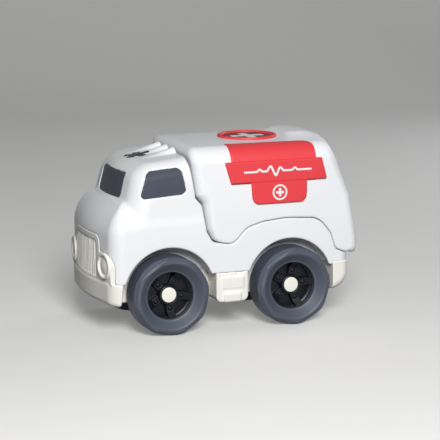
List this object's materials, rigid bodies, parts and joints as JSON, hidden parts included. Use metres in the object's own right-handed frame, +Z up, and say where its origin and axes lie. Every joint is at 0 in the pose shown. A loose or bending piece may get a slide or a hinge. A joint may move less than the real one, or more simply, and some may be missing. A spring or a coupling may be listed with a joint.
{
  "type": "toy ambulance",
  "caption": "Push-along toy ambulance with a hollow white cab and rear body, cream chassis, red side signs, a roof dish and wheels that roll on steel axles.",
  "frame": {"origin": "middle of the length and width, on the surface that the wheels stand on", "axes": "-Y forward (the cab's end), +X to the vehicle's left, +Z up"},
  "size_m": [0.1064, 0.193, 0.1358],
  "materials": {
    "white_plastic": "satin moulded, fine grain",
    "cream_plastic": "satin moulded, faintly speckled",
    "red_plastic": "satin moulded",
    "window_plastic": "satin gloss",
    "tyre_plastic": "matt, soft moulded",
    "rim_plastic": "gloss",
    "axle_steel": "drawn",
    "screw_steel": "zinc plated"
  },
  "bodies": {
    "body": {"cab_shell": "white_plastic", "rear_body": "white_plastic", "chassis": "cream_plastic", "windscreen": "window_plastic", "side_window_left": "window_plastic", "side_window_right": "window_plastic", "side_sign_left": "red_plastic", "side_sign_right": "red_plastic", "roof_dish": "red_plastic", "chassis_screws": "screw_steel", "deck_screws": "screw_steel"},
    "front_wheels": {"front_axle": "axle_steel", "front_left_tyre": "tyre_plastic", "front_left_rim": "rim_plastic", "front_left_hub_cap": "cream_plastic", "front_right_tyre": "tyre_plastic", "front_right_rim": "rim_plastic", "front_right_hub_cap": "cream_plastic"},
    "rear_wheels": {"rear_axle": "axle_steel", "rear_left_tyre": "tyre_plastic", "rear_left_rim": "rim_plastic", "rear_left_hub_cap": "cream_plastic", "rear_right_tyre": "tyre_plastic", "rear_right_rim": "rim_plastic", "rear_right_hub_cap": "cream_plastic"}
  },
  "joints": [
    {"name": "front_axle_spin", "type": "hinge", "parent": "body", "child": "front_wheels", "pos_m": [0, -0.04836, 0.0282], "axis": [1, 0, 0], "continuous": true},
    {"name": "rear_axle_spin", "type": "hinge", "parent": "body", "child": "rear_wheels", "pos_m": [0, 0.04464, 0.0282], "axis": [1, 0, 0], "continuous": true}
  ]
}
